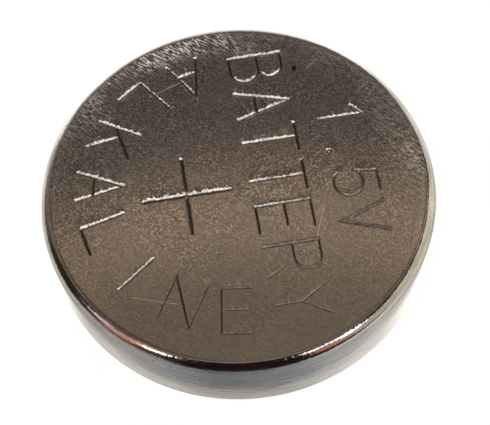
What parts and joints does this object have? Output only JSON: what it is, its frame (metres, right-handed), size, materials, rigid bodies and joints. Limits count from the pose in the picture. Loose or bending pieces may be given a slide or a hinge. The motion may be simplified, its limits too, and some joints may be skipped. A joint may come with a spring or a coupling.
{
  "type": "alkaline button cell",
  "caption": "Low round button cell: a drawn steel can with a rounded edge and a stamped cross on its flat face, crimped over a plastic ring and a stepped metal cap on the other side.",
  "frame": {"origin": "centre of the negative terminal's flat, the face that the cell lies on", "axes": "+Z along the cell's axis, out of the positive can's flat face; the stamped cross lies towards -X"},
  "size_m": [0.0116, 0.0116, 0.003],
  "materials": {
    "can_steel": "satin",
    "cap_strip": "satin",
    "gasket_nylon": "satin",
    "cathode_mix": "matte",
    "separator": "matte",
    "absorbent": "matte",
    "zinc_gel": "satin"
  },
  "bodies": {
    "root": {"positive_can": "can_steel", "cathode_pellet": "cathode_mix", "separator_film": "separator", "absorbent_pad": "absorbent", "anode_gel": "zinc_gel", "sealing_gasket": "gasket_nylon", "negative_cap": "cap_strip"}
  },
  "joints": []
}
